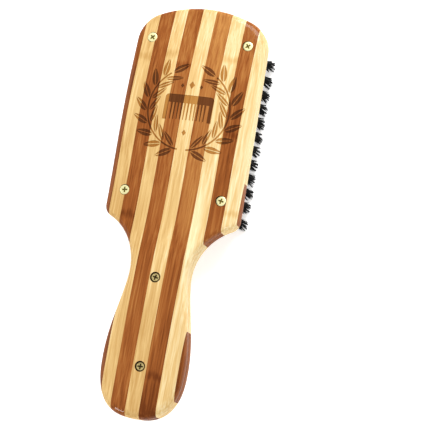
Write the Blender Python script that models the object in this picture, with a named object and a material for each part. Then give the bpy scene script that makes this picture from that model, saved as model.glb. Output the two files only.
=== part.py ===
"""A bamboo beard brush: a screwed-on back board, a drilled face board and drawn bristle tufts.

The brush lies on the cut ends of its bristles, with its crowned back up. Y is the long axis,
with the head towards +Y and the grip towards -Y, X runs across it, and Z = 0 is the plane of
the bristle tips. Both boards are glued up from light and dark bamboo strips.
"""
import math

import bmesh
import bpy
from mathutils import Vector

# Outline of the boards, half of it, seen from above.
HALF_LENGTH = 0.1113        # from the middle to the head's top and to the grip's end
TOP_ARC_RADIUS = 0.073      # shallow arc across the head's top
TOP_CORNER_RADIUS = 0.016   # between that arc and the head's sides
HEAD_HALF_TOP = 0.0362      # half the head's width where its top corners start
HEAD_HALF_LOW = 0.0370      # half the head's width at the shoulders
SHOULDER_RADIUS = 0.0065    # the head's lower corners
NECK_RADIUS = 0.030         # hollow curve from the shoulders into the neck
NECK_Y = -0.034             # the neck's narrowest place
NECK_HALF = 0.0157          # half its width there
SWELL_Y = -0.083            # the grip's widest place
SWELL_HALF = 0.0227         # half its width there
FLANK_EASE = 0.85           # the flank swells a little sooner than a plain wave
END_EXPONENT = 2.5          # superellipse that rounds the grip's end, a little fuller than an oval

# Boards, from the bristle tips up.
BRISTLE_LENGTH = 0.0170     # free length of the bristles, below the face board
FACE_THICKNESS = 0.0060     # drilled board that holds the tufts
BACK_THICKNESS = 0.0095     # back board, at the crest of its crown
GLUE_LINE = 0.0001          # between two strips, and between the two boards
BACK_ROUNDING = 0.0020      # rounded rim of the back
FACE_ROUNDING = 0.0013      # eased rim of the face
CROWN_ACROSS = 0.0048       # how far the back falls from its middle to the head's sides
CROWN_CUTS = 0.0140         # spacing of the cross edges that carry the crown
# How far the back's middle line lies under its crest: (Y, fall), from the head's top to the grip's end.
CROWN_ALONG = ((HALF_LENGTH, 0.0040), (0.054, 0.0), (-0.002, 0.0023), (NECK_Y, 0.0006),
               (-HALF_LENGTH, 0.0034))

# Bamboo strips, left to right. The outermost ones are dark, and the board's edge ends them.
STRIP_WIDTHS = (0.0074, 0.0084, 0.0070, 0.0085, 0.0076, 0.0087, 0.0079, 0.0078, 0.0070)
STRIP_SHIFT = 0.0013        # the middle strip's offset from the outline's own middle, at Y = 0
STRIP_SKEW = 0.0167         # slope of the strips against the outline

# Bristle tufts, in columns along the head.
COLUMNS = 9
COLUMN_PITCH = 0.0077
TUFT_PITCH = 0.0078
FIRST_TUFT_Y = 0.0023
RIM_MARGIN = 0.0125         # least distance from a tuft to the head's top edge
HOLE_RADIUS = 0.0015
TUFT_RADIUS = 0.0012        # in its hole
TIP_RADIUS = 0.0028         # at the cut ends
TUFT_SIDES = 6
LEAN_PER_COLUMN = math.radians(2.9)
END_LEAN = math.radians(6.0)
WIRE = 0.0009               # square drawing wire that ties a column together
GROOVE_WIDTH = 0.0016
GROOVE_DEPTH = 0.0015
WIRE_CLEARANCE = 0.0003     # under the wire
TUFT_TOP_BELOW_BOARD = 0.0008

# Countersunk cross-recess wood screws.
SCREW_HEAD_RADIUS = 0.0026
SCREW_RIM = 0.0003          # straight rim of the head, above its cone
SCREW_CONE = 0.0015
SHANK_RADIUS = 0.0013
SCREW_POINT = 0.0012
SCREW_CLEARANCE = 0.0003
SCREW_SINK = 0.0003         # how far a head sits below the wood around it
SCREW_SIDES = 16
HEAD_SCREW_LENGTH = 0.0090
GRIP_SCREW_LENGTH = 0.0120
RECESS_WIDTH = 0.0007
RECESS_LENGTH = 0.0029
RECESS_DEPTH = 0.0011
HEAD_SCREW_X = 0.0268
HEAD_SCREW_YS = (0.0925, 0.0075)
GRIP_SCREW_YS = (-0.0375, -0.0845)

FACE_LOW = BRISTLE_LENGTH
FACE_TOP = FACE_LOW + FACE_THICKNESS
BACK_LOW = FACE_TOP + GLUE_LINE
BACK_TOP = BACK_LOW + BACK_THICKNESS

SMOOTH_ANGLE = math.radians(32)


def clear_scene():
    for item in list(bpy.data.objects):
        bpy.data.objects.remove(item, do_unlink=True)


def make_material(name, colour, roughness, metallic=0.0):
    material = bpy.data.materials.new(name)
    material.use_nodes = True
    shader = material.node_tree.nodes["Principled BSDF"]
    shader.inputs["Base Color"].default_value = (*colour, 1.0)
    shader.inputs["Roughness"].default_value = roughness
    shader.inputs["Metallic"].default_value = metallic
    return material


def make_object(name, bm, material=None):
    """Close a bmesh into a named object; one without a material is a cutter."""
    mesh = bpy.data.meshes.new(name)
    bm.to_mesh(mesh)
    bm.free()
    mesh.shade_smooth()
    mesh.set_sharp_from_angle(angle=SMOOTH_ANGLE)
    item = bpy.data.objects.new(name, mesh)
    bpy.context.scene.collection.objects.link(item)
    if material:
        mesh.materials.append(material)
    else:
        item.hide_render = True
        item.display_type = "WIRE"
    return item


def add_boolean(item, other, operation):
    modifier = item.modifiers.new(other.name, "BOOLEAN")
    modifier.object = other
    modifier.operation = operation
    modifier.solver = "EXACT"


# Outline ------------------------------------------------------------------------------------

def arc(centre, radius, start, end, steps):
    """Points on an arc, from the start angle to the end angle, without the last one."""
    points = []
    for step in range(steps):
        angle = start + (end - start) * step / steps
        points.append((centre[0] + radius * math.cos(angle), centre[1] + radius * math.sin(angle)))
    return points


def half_outline():
    """The right half of the outline, from the middle of the head's top to the grip's end."""
    top_centre = (0.0, HALF_LENGTH - TOP_ARC_RADIUS)
    corner_x = HEAD_HALF_TOP - TOP_CORNER_RADIUS
    reach = TOP_ARC_RADIUS - TOP_CORNER_RADIUS
    corner_centre = (corner_x, top_centre[1] + math.sqrt(reach ** 2 - corner_x ** 2))
    meeting = math.acos(corner_x / reach)
    points = arc(top_centre, TOP_ARC_RADIUS, math.pi / 2, meeting, 4)
    points += arc(corner_centre, TOP_CORNER_RADIUS, meeting, 0.0, 6)
    points.append((HEAD_HALF_TOP, corner_centre[1]))

    neck_centre = (NECK_HALF + NECK_RADIUS, NECK_Y)
    shoulder_x = HEAD_HALF_LOW - SHOULDER_RADIUS
    between = NECK_RADIUS + SHOULDER_RADIUS
    across = neck_centre[0] - shoulder_x
    shoulder_centre = (shoulder_x, NECK_Y + math.sqrt(between ** 2 - across ** 2))
    turn = math.acos(across / between)
    points += arc(shoulder_centre, SHOULDER_RADIUS, 0.0, -turn, 4)
    points += arc(neck_centre, NECK_RADIUS, math.pi - turn, math.pi, 7)

    flank_steps = 6
    for step in range(flank_steps):
        t = step / flank_steps
        half = NECK_HALF + (SWELL_HALF - NECK_HALF) * (1.0 - math.cos(math.pi * t ** FLANK_EASE)) / 2.0
        points.append((half, NECK_Y + (SWELL_Y - NECK_Y) * t))

    end_steps = 8
    power = 2.0 / END_EXPONENT
    for step in range(end_steps + 1):
        angle = math.pi / 2 * step / end_steps
        half = SWELL_HALF * max(math.cos(angle), 0.0) ** power
        points.append((half, SWELL_Y - (HALF_LENGTH + SWELL_Y) * math.sin(angle) ** power))
    points[-1] = (0.0, -HALF_LENGTH)
    return points


def outline():
    right = half_outline()
    left = [(-x, y) for x, y in reversed(right[1:-1])]
    return right + left


# Boards -------------------------------------------------------------------------------------

def crown_fall(x, y):
    """How far the back's surface lies under its crest at a place."""
    across = CROWN_ACROSS * (x / HEAD_HALF_LOW) ** 2
    for (high_y, high_fall), (low_y, low_fall) in zip(CROWN_ALONG, CROWN_ALONG[1:]):
        if y >= low_y:
            break
    t = min(max((high_y - y) / (high_y - low_y), 0.0), 1.0)
    if high_y == HALF_LENGTH:
        ease = math.sin(math.pi / 2 * t)
    elif low_y == -HALF_LENGTH:
        ease = 1.0 - math.cos(math.pi / 2 * t)
    else:
        ease = (1.0 - math.cos(math.pi * t)) / 2.0
    return across + high_fall + (low_fall - high_fall) * ease


def flat_board(low, high, rounded, rounding):
    """A board of the brush's outline with one rim rounded, the rim at the height of rounded."""
    bm = bmesh.new()
    ring = [bm.verts.new((x, y, low)) for x, y in outline()]
    face = bm.faces.new(ring)
    raised = bmesh.ops.extrude_face_region(bm, geom=[face])["geom"]
    raised_verts = [item for item in raised if isinstance(item, bmesh.types.BMVert)]
    bmesh.ops.translate(bm, vec=(0.0, 0.0, high - low), verts=raised_verts)
    bmesh.ops.recalc_face_normals(bm, faces=bm.faces)
    rim = [e for e in bm.edges if all(abs(v.co.z - rounded) < 1e-6 for v in e.verts)]
    bmesh.ops.bevel(bm, geom=rim, offset=rounding, offset_type="OFFSET", segments=3, profile=0.5,
                    affect="EDGES")
    return bm


def cut(bm, point, normal, fill=True):
    """Cut away what lies on the normal's side of a plane, and close the cut."""
    geom = bm.verts[:] + bm.edges[:] + bm.faces[:]
    bmesh.ops.bisect_plane(bm, geom=geom, dist=1e-7, plane_co=point, plane_no=normal, clear_outer=True)
    if fill:
        bmesh.ops.holes_fill(bm, edges=[e for e in bm.edges if e.is_boundary], sides=0)


def add_cross_edges(bm, spacing):
    """Score the board across, so that it can take the crown."""
    count = int(2 * HALF_LENGTH / spacing)
    for step in range(1, count):
        y = -HALF_LENGTH + step * 2 * HALF_LENGTH / count
        geom = bm.verts[:] + bm.edges[:] + bm.faces[:]
        bmesh.ops.bisect_plane(bm, geom=geom, dist=1e-7, plane_co=(0.0, y, 0.0), plane_no=(0.0, 1.0, 0.0))


def crown_back(bm):
    """Lower the back board's upper side and rim to its crown, and leave its underside flat."""
    for vert in bm.verts:
        if vert.co.z > BACK_TOP - BACK_ROUNDING - GLUE_LINE:
            vert.co.z -= crown_fall(vert.co.x, vert.co.y)


def strip_limits():
    """X of the glue lines at Y = 0, left to right."""
    middle = len(STRIP_WIDTHS) // 2
    start = STRIP_SHIFT - sum(STRIP_WIDTHS[:middle]) - STRIP_WIDTHS[middle] / 2
    limits = [start]
    for width in STRIP_WIDTHS:
        limits.append(limits[-1] + width)
    return limits


def strip_plan():
    """Each strip's name ending, tone, left and right glue line, and the end that it lies in."""
    limits = strip_limits()
    plan = []
    for index in range(len(limits) + 1):
        left = limits[index - 1] if index > 0 else None
        right = limits[index] if index < len(limits) else None
        tone = "dark" if index % 2 == 0 else "light"
        name = f"{index:02d}_{tone}"
        nearest = min(abs(side) for side in (left, right) if side is not None)
        if nearest > SWELL_HALF:
            ends = ("head",)
        elif nearest > NECK_HALF:
            ends = ("head", "grip")
        else:
            ends = ("whole",)
        for end in ends:
            ending = f"{name}_{end}" if len(ends) > 1 else name
            plan.append((ending, tone, left, right, end))
    return plan


def cut_strip(board, left, right, end):
    """A copy of the board between two glue lines."""
    bm = board.copy()
    across = Vector((1.0, -STRIP_SKEW, 0.0)).normalized()
    if left is not None:
        cut(bm, (left + GLUE_LINE / 2, 0.0, 0.0), -across)
    if right is not None:
        cut(bm, (right - GLUE_LINE / 2, 0.0, 0.0), across)
    if end != "whole":
        towards = -1.0 if end == "head" else 1.0
        cut(bm, (0.0, NECK_Y, 0.0), (0.0, towards, 0.0), fill=False)
    bmesh.ops.recalc_face_normals(bm, faces=bm.faces)
    return bm


def make_boards(materials, screw_cutter, hole_cutter, groove_cutter):
    """The back board's and the face board's strips."""
    back = flat_board(BACK_LOW, BACK_TOP, BACK_TOP, BACK_ROUNDING)
    face = flat_board(FACE_LOW, FACE_TOP, FACE_LOW, FACE_ROUNDING)
    for ending, tone, left, right, end in strip_plan():
        bm = cut_strip(back, left, right, end)
        add_cross_edges(bm, CROWN_CUTS)
        crown_back(bm)
        back_strip = make_object(f"back_strip_{ending}", bm, materials[tone])
        bm = cut_strip(face, left, right, end)
        face_strip = make_object(f"face_strip_{ending}", bm, materials[tone])
        if has_screw(left, right, end):
            add_boolean(back_strip, screw_cutter, "DIFFERENCE")
            add_boolean(face_strip, screw_cutter, "DIFFERENCE")
        if end != "grip":
            add_boolean(face_strip, hole_cutter, "DIFFERENCE")
            add_boolean(face_strip, groove_cutter, "DIFFERENCE")
    back.free()
    face.free()


# Screws -------------------------------------------------------------------------------------

def screw_places():
    """Name, X, Y and length of each screw."""
    places = []
    for row, y in enumerate(HEAD_SCREW_YS):
        for side, label in ((-1, "left"), (1, "right")):
            end = ("top", "low")[row]
            places.append((f"head_screw_{end}_{label}", side * HEAD_SCREW_X, y, HEAD_SCREW_LENGTH))
    for y, label in zip(GRIP_SCREW_YS, ("neck", "end")):
        places.append((f"grip_screw_{label}", 0.0, y, GRIP_SCREW_LENGTH))
    return places


def has_screw(left, right, end):
    """Whether a screw's clearance reaches into the strip between two glue lines."""
    reach = SCREW_HEAD_RADIUS + SCREW_CLEARANCE
    for _, x, y, _ in screw_places():
        if (end == "head" and y < NECK_Y) or (end == "grip" and y > NECK_Y):
            continue
        low = -1.0 if left is None else left + STRIP_SKEW * y
        high = 1.0 if right is None else right + STRIP_SKEW * y
        if low - reach < x < high + reach:
            return True
    return False


def turned(profile, sides):
    """A solid turned about Z from (radius, z) points that run down its outer side."""
    bm = bmesh.new()
    line = [bm.verts.new((radius, 0.0, z)) for radius, z in profile]
    for start, end in zip(line, line[1:]):
        bm.edges.new((start, end))
    bmesh.ops.spin(bm, geom=bm.verts[:] + bm.edges[:], axis=(0.0, 0.0, 1.0), cent=(0.0, 0.0, 0.0),
                   angle=2 * math.pi, steps=sides, use_merge=True)
    bmesh.ops.remove_doubles(bm, verts=bm.verts, dist=1e-6)
    bmesh.ops.recalc_face_normals(bm, faces=bm.faces)
    return bm


def screw_profile(top, length, grow, lift):
    """Half section of a countersunk screw; grow and lift open it into its own clearance hole."""
    cone_low = -SCREW_RIM - SCREW_CONE
    return [(0.0, top + lift),
            (SCREW_HEAD_RADIUS + grow, top + lift),
            (SCREW_HEAD_RADIUS + grow, top - SCREW_RIM),
            (SHANK_RADIUS + grow, top + cone_low - grow / 2),
            (SHANK_RADIUS + grow, top - length + SCREW_POINT),
            (0.0, top - length - grow)]


def screw_top(x, y):
    """Height of a screw head's upper side, a little below the crowned back."""
    return BACK_TOP - crown_fall(x, y) - SCREW_SINK


def make_screw_cutter():
    joined = bmesh.new()
    for _, x, y, length in screw_places():
        profile = screw_profile(screw_top(x, y), length, SCREW_CLEARANCE, BACK_THICKNESS)
        hole = turned(profile, SCREW_SIDES)
        bmesh.ops.translate(hole, vec=(x, y, 0.0), verts=hole.verts)
        add_bmesh(joined, hole)
    return make_object("screw_cutter", joined)


def make_screws(material):
    recess = bmesh.new()
    for along, across in ((RECESS_LENGTH, RECESS_WIDTH), (RECESS_WIDTH, RECESS_LENGTH)):
        bar = box((along, across, 2 * RECESS_DEPTH))
        add_bmesh(recess, bar)
    cross = make_object("recess_cutter", recess)
    for name, x, y, length in screw_places():
        screw = make_object(name, turned(screw_profile(0.0, length, 0.0, 0.0), SCREW_SIDES), material)
        screw.location = (x, y, screw_top(x, y))
        tool = bpy.data.objects.new(f"{name}_recess_cutter", cross.data)
        bpy.context.scene.collection.objects.link(tool)
        tool.hide_render = True
        tool.display_type = "WIRE"
        tool.parent = screw
        add_boolean(screw, tool, "DIFFERENCE")
        screw.modifiers[-1].use_self = True


# Tufts --------------------------------------------------------------------------------------

def add_bmesh(target, piece):
    """Append one bmesh to another, and free it."""
    mesh = bpy.data.meshes.new("joining")
    piece.to_mesh(mesh)
    piece.free()
    target.from_mesh(mesh)
    bpy.data.meshes.remove(mesh)


def box(size):
    bm = bmesh.new()
    bmesh.ops.create_cube(bm, size=1.0)
    bmesh.ops.scale(bm, vec=size, verts=bm.verts)
    return bm


def top_edge(x):
    """Y of the head's top edge above a place across the head."""
    corner_x = HEAD_HALF_TOP - TOP_CORNER_RADIUS
    reach = TOP_ARC_RADIUS - TOP_CORNER_RADIUS
    arc_low = HALF_LENGTH - TOP_ARC_RADIUS
    if abs(x) <= corner_x * TOP_ARC_RADIUS / reach:
        return arc_low + math.sqrt(TOP_ARC_RADIUS ** 2 - x ** 2)
    corner_y = arc_low + math.sqrt(reach ** 2 - corner_x ** 2)
    return corner_y + math.sqrt(TOP_CORNER_RADIUS ** 2 - (abs(x) - corner_x) ** 2)


def tuft_columns():
    """X of each column, and the Y of its tufts; every second column is staggered."""
    columns = []
    for index in range(COLUMNS):
        place = index - COLUMNS // 2
        x = place * COLUMN_PITCH
        start = FIRST_TUFT_Y + (TUFT_PITCH / 2 if place % 2 else 0.0)
        room = top_edge(x) - RIM_MARGIN - start
        count = int(room / TUFT_PITCH) + 1
        columns.append((place, x, [start + step * TUFT_PITCH for step in range(count)]))
    return columns


def ring(bm, x, y, z, radius):
    """A ring of points about a tuft's middle."""
    points = []
    for side in range(TUFT_SIDES):
        angle = 2 * math.pi * (side + 0.5) / TUFT_SIDES
        points.append(bm.verts.new((x + radius * math.cos(angle), y + radius * math.sin(angle), z)))
    return points


def loft(bm, rings):
    """Close a stack of rings, from the top one down, into a solid."""
    bm.faces.new(rings[0])
    for upper, lower in zip(rings, rings[1:]):
        for side in range(TUFT_SIDES):
            after = (side + 1) % TUFT_SIDES
            bm.faces.new((upper[after], upper[side], lower[side], lower[after]))
    bm.faces.new(reversed(rings[-1]))


def make_hole_cutter():
    """The drill holes: right through the face board, one for each tuft."""
    bm = bmesh.new()
    for _, x, ys in tuft_columns():
        for y in ys:
            high = ring(bm, x, y, FACE_TOP + GROOVE_DEPTH, HOLE_RADIUS)
            low = ring(bm, x, y, FACE_LOW - GROOVE_DEPTH, HOLE_RADIUS)
            loft(bm, [high, low])
    return make_object("hole_cutter", bm)


def wire_bar(x, ys, width, low, high, overrun):
    """A square bar along a column."""
    length = ys[-1] - ys[0] + 2 * overrun
    bar = box((width, length, high - low))
    bmesh.ops.translate(bar, vec=(x, (ys[0] + ys[-1]) / 2, (low + high) / 2), verts=bar.verts)
    return bar


def make_groove_cutter():
    """The grooves in the face board's upper side, in which the drawing wires lie."""
    bm = bmesh.new()
    for _, x, ys in tuft_columns():
        low = FACE_TOP - GROOVE_DEPTH
        add_bmesh(bm, wire_bar(x, ys, GROOVE_WIDTH, low, FACE_TOP + GROOVE_DEPTH, 2 * HOLE_RADIUS))
    return make_object("groove_cutter", bm)


def make_tuft_columns(material):
    """Each column of tufts with the wire that draws them into the board, as one piece."""
    tuft_top = FACE_TOP - TUFT_TOP_BELOW_BOARD
    for place, x, ys in tuft_columns():
        wire_low = FACE_TOP - GROOVE_DEPTH + WIRE_CLEARANCE
        wire = wire_bar(x, ys, WIRE, wire_low, wire_low + WIRE, HOLE_RADIUS)
        column = make_object(f"tuft_column_{place + COLUMNS // 2 + 1}", wire, material)
        tufts = bmesh.new()
        for order, y in enumerate(ys):
            lean_y = 0.0
            if order == 0:
                lean_y = -END_LEAN
            elif order == len(ys) - 1:
                lean_y = END_LEAN
            tip_x = x + FACE_LOW * math.tan(place * LEAN_PER_COLUMN)
            tip_y = y + FACE_LOW * math.tan(lean_y)
            loft(tufts, [ring(tufts, x, y, tuft_top, TUFT_RADIUS),
                         ring(tufts, x, y, FACE_LOW, TUFT_RADIUS),
                         ring(tufts, tip_x, tip_y, 0.0, TIP_RADIUS)])
        adding = make_object(f"tufts_{place + COLUMNS // 2 + 1}_joiner", tufts)
        add_boolean(column, adding, "UNION")


clear_scene()
strip_materials = {
    "light": make_material("light_bamboo", (0.86, 0.66, 0.33), 0.35),
    "dark": make_material("dark_bamboo", (0.36, 0.11, 0.035), 0.35),
}
bristle = make_material("black_bristle", (0.012, 0.011, 0.010), 0.45)
brass = make_material("brass", (0.80, 0.62, 0.25), 0.30, 1.0)

make_boards(strip_materials, make_screw_cutter(), make_hole_cutter(), make_groove_cutter())
make_screws(brass)
make_tuft_columns(bristle)
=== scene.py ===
"""The looks of a striped bamboo beard brush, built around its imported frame.

The brush lies on its bristle tips with its crowned back up. Y is its long axis, with the head
towards +Y and the grip towards -Y, and X runs across it. All sizes are in metres.
"""
import math
import random

import bmesh
import bpy
from mathutils import Matrix, Vector, geometry, kdtree


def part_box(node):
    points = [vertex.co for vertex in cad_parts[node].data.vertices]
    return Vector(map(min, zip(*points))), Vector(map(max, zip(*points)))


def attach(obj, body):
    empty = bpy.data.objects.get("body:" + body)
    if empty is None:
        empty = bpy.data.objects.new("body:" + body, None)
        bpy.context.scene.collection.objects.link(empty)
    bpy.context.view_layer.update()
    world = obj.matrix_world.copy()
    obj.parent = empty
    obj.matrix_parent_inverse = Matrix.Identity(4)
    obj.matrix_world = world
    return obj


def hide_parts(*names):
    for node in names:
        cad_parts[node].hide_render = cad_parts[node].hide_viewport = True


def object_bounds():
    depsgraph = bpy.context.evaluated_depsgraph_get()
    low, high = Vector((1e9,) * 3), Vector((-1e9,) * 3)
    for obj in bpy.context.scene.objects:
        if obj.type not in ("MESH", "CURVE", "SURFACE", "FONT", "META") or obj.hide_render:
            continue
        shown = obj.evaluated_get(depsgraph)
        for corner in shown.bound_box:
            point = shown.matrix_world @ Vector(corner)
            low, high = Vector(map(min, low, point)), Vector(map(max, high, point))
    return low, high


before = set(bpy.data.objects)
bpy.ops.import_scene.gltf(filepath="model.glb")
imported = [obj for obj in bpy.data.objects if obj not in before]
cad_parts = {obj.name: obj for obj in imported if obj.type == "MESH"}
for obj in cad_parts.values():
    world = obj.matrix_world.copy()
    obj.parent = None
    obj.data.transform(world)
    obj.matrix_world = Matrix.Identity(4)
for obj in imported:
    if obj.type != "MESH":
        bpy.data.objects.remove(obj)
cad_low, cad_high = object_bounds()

# Face board and back board -------------------------------------------------------------------
# Two boards glued up from strips of bamboo, light ones left natural and dark ones steamed until
# they caramelise. Both are sawn to the same paddle outline, their rims are rounded over and
# sanded, and the back is crowned both along and across before the varnish goes on.

MM = 0.001
HALF_LENGTH = cad_high.y
HEAD_HALF_LOW = cad_high.x    # half the head's width at its shoulders
HEAD_HALF_TOP = 36.2 * MM     # half its width where its top corners start
TOP_ARC = 73 * MM             # radius of the shallow arc across the head's top
TOP_CORNER = 16 * MM          # radius of the head's upper corners
SHOULDER = 6.5 * MM           # radius of the head's lower corners
NECK_ARC = 30 * MM            # radius of the hollow between head and grip
NECK_Y = -34 * MM             # the neck's narrowest place
NECK_HALF = 15.7 * MM
SWELL_Y = -83 * MM            # the grip's widest place
SWELL_HALF = 22.7 * MM
FLANK_EASE = 0.85             # under 1, the grip swells sooner below the neck
END_EXPONENT = 2.5            # superellipse round the grip's end

FACE_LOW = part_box("face_strip_05_light")[0].z
FACE_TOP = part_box("face_strip_05_light")[1].z
BACK_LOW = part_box("back_strip_05_light")[0].z
BACK_TOP = cad_high.z
RIM_INSET = 4.6 * MM          # how far in from its rim the back is rounded at all
HEAD_RIM_ROUND = (2.8 * MM, 2.5 * MM)        # inwards and down, round the head
GRIP_RIM_ROUND = (RIM_INSET, 3.5 * MM)       # the same round the grip
GRIP_RIM_FROM = -18 * MM      # where the head's round starts to turn into the grip's
GRIP_RIM_OVER = 22 * MM       # and over what length it does
FACE_ROUND = 1.3 * MM         # eased rim of the face
SEAM_BREAK = 0.2 * MM         # sanded corners where the two boards meet
CROWN_ACROSS = 4.8 * MM       # fall from the middle to the head's edge
# Fall along the back, as pairs of Y and fall; the crest runs through the head's middle.
CROWN_ALONG = ((HALF_LENGTH, 4.0 * MM), (54 * MM, 0.0), (-2 * MM, 2.3 * MM), (NECK_Y, 0.6 * MM),
               (-HALF_LENGTH, 3.4 * MM))
CUT_EVERY = 3.0 * MM          # spacing of the edges that carry the crown

STRIP_WIDTHS = [width * MM for width in (7.4, 8.4, 7.0, 8.5, 7.6, 8.7, 7.9, 7.8, 7.0)]
STRIP_SHIFT = 1.3 * MM        # the middle strip's offset from the brush's own middle
STRIP_SKEW = 0.0167           # slope of the strips against the long axis
GLUE = 0.02 * MM              # thickness of a glue line


def take(piece):
    """Deselect everything, then select one piece and make it the active one."""
    bpy.ops.object.select_all(action="DESELECT")
    piece.select_set(True)
    bpy.context.view_layer.objects.active = piece
    return piece


def pick(piece, kind, wanted):
    """Go into edit mode with only the wanted edges or faces of a piece selected."""
    take(piece)
    bpy.ops.object.mode_set(mode="EDIT")
    bpy.ops.mesh.select_mode(type=kind)
    bpy.ops.mesh.select_all(action="DESELECT")
    mesh = bmesh.from_edit_mesh(piece.data)
    for part in mesh.edges if kind == "EDGE" else mesh.faces:
        part.select_set(wanted(part))
    bmesh.update_edit_mesh(piece.data)


def slice_all(place, normal, **how):
    """Bisect the whole mesh in edit mode."""
    bpy.ops.mesh.select_all(action="SELECT")
    bpy.ops.mesh.bisect(plane_co=place, plane_no=normal, threshold=1e-7, **how)


def arc(centre, radius, start, end, steps):
    """Points on an arc without its last one."""
    angles = [start + (end - start) * step / steps for step in range(steps)]
    return [(centre[0] + radius * math.cos(a), centre[1] + radius * math.sin(a)) for a in angles]


def outline():
    """The paddle's outline, from the middle of the head's top down its right side and back."""
    top_y = HALF_LENGTH - TOP_ARC
    corner_x = HEAD_HALF_TOP - TOP_CORNER
    reach = TOP_ARC - TOP_CORNER
    corner_y = top_y + math.sqrt(reach ** 2 - corner_x ** 2)
    meeting = math.acos(corner_x / reach)
    right = arc((0.0, top_y), TOP_ARC, math.pi / 2, meeting, 10)
    right += arc((corner_x, corner_y), TOP_CORNER, meeting, 0.0, 16)
    right.append((HEAD_HALF_TOP, corner_y))

    neck_x = NECK_HALF + NECK_ARC
    shoulder_x = HEAD_HALF_LOW - SHOULDER
    across = neck_x - shoulder_x
    between = NECK_ARC + SHOULDER
    turn = math.acos(across / between)
    shoulder_y = NECK_Y + math.sqrt(between ** 2 - across ** 2)
    right += arc((shoulder_x, shoulder_y), SHOULDER, 0.0, -turn, 14)
    right += arc((neck_x, NECK_Y), NECK_ARC, math.pi - turn, math.pi, 22)

    flank, bend = 22, 26
    for step in range(flank):
        t = step / flank
        swell = (1.0 - math.cos(math.pi * t ** FLANK_EASE)) / 2.0
        right.append((NECK_HALF + (SWELL_HALF - NECK_HALF) * swell, NECK_Y + (SWELL_Y - NECK_Y) * t))
    for step in range(bend):
        angle = math.pi / 2 * step / bend
        right.append((SWELL_HALF * math.cos(angle) ** (2 / END_EXPONENT),
                      SWELL_Y - (HALF_LENGTH + SWELL_Y) * math.sin(angle) ** (2 / END_EXPONENT)))
    right.append((0.0, -HALF_LENGTH))
    return right + [(-x, y) for x, y in reversed(right[1:-1])]


def crown_fall(x, y):
    """How far the back lies under its crest at a place."""
    for (high_y, high_fall), (low_y, low_fall) in zip(CROWN_ALONG, CROWN_ALONG[1:]):
        if y >= low_y:
            break
    t = min(max((high_y - y) / (high_y - low_y), 0.0), 1.0)
    if high_y == HALF_LENGTH:
        ease = math.sin(math.pi / 2 * t)
    elif low_y == -HALF_LENGTH:
        ease = 1.0 - math.cos(math.pi / 2 * t)
    else:
        ease = (1.0 - math.cos(math.pi * t)) / 2.0
    return CROWN_ACROSS * (x / HEAD_HALF_LOW) ** 2 + high_fall + (low_fall - high_fall) * ease


def rim_fall(inside, y):
    """How far a rim's round lies under the back's face, at a distance inside the outline."""
    grip = min(max((GRIP_RIM_FROM - y) / GRIP_RIM_OVER, 0.0), 1.0)
    grip = grip * grip * (3.0 - 2.0 * grip)
    inward, down = [head + (end - head) * grip for head, end in zip(HEAD_RIM_ROUND, GRIP_RIM_ROUND)]
    return down * (1.0 - math.sqrt(1.0 - max(0.0, 1.0 - inside / inward) ** 2))


def inside_outline(points, tree, x, y):
    """Distance from a place to the outline, by the two sides that meet at its nearest corner."""
    place = Vector((x, y))
    _, near, _ = tree.find((x, y, 0.0))
    gaps = []
    for other in (near - 1, (near + 1) % len(points)):
        start, end = Vector(points[near]), Vector(points[other])
        foot, share = geometry.intersect_point_line(place, start, end)
        gaps.append((place - (start if share < 0.0 else end if share > 1.0 else foot.xy)).length)
    return min(gaps)


def blank(low, high, rounds):
    """A board sawn to the outline. rounds holds pairs of a rim's height and its radius."""
    points = outline()
    bpy.ops.object.select_all(action="DESELECT")
    bpy.ops.mesh.primitive_circle_add(vertices=len(points), radius=HALF_LENGTH, fill_type="NGON")
    board = bpy.context.object
    for vert, (x, y) in zip(board.data.vertices, points):
        vert.co = (x, y, low)
    bpy.ops.object.mode_set(mode="EDIT")
    bpy.ops.mesh.select_all(action="SELECT")
    bpy.ops.mesh.extrude_region_move(TRANSFORM_OT_translate={"value": (0.0, 0.0, high - low)})
    bpy.ops.mesh.select_all(action="SELECT")
    bpy.ops.mesh.normals_make_consistent(inside=False)
    bpy.ops.object.mode_set(mode="OBJECT")
    for height, radius in rounds:
        pick(board, "EDGE", lambda e: all(abs(v.co.z - height) < 1e-6 for v in e.verts))
        segments = 9 if radius == RIM_INSET else 5 if radius > MM else 2
        bpy.ops.mesh.bevel(offset=radius, segments=segments, affect="EDGES")
        bpy.ops.object.mode_set(mode="OBJECT")
    return board


def glue_lines():
    """X of the glue lines at Y = 0, left to right."""
    middle = len(STRIP_WIDTHS) // 2
    lines = [STRIP_SHIFT - sum(STRIP_WIDTHS[:middle]) - STRIP_WIDTHS[middle] / 2]
    for width in STRIP_WIDTHS:
        lines.append(lines[-1] + width)
    return lines


ACROSS = Vector((1.0, -STRIP_SKEW, 0.0)).normalized()


def score_back(board):
    """Score the back board along and across, then lower its top and rim to the crown."""
    take(board)
    bpy.ops.object.mode_set(mode="EDIT")
    for step in range(1, int(2 * HALF_LENGTH / CUT_EVERY)):
        slice_all((0.0, -HALF_LENGTH + step * CUT_EVERY, 0.0), (0.0, 1.0, 0.0))
    lines = glue_lines()
    lines = [lines[0] - STRIP_WIDTHS[0]] + lines + [lines[-1] + STRIP_WIDTHS[-1]]
    for left, right in zip(lines, lines[1:]):
        for share in (1 / 3, 2 / 3):
            slice_all((left + (right - left) * share, 0.0, 0.0), ACROSS)
    bpy.ops.object.mode_set(mode="OBJECT")
    points = outline()
    tree = kdtree.KDTree(len(points))
    for number, (x, y) in enumerate(points):
        tree.insert((x, y, 0.0), number)
    tree.balance()
    for vert in board.data.vertices:
        if vert.co.z > BACK_TOP - RIM_INSET - 0.01 * MM:
            x, y, _ = vert.co
            fall = rim_fall(inside_outline(points, tree, x, y), y)
            vert.co.z = BACK_TOP - fall - crown_fall(x, y)


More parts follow.
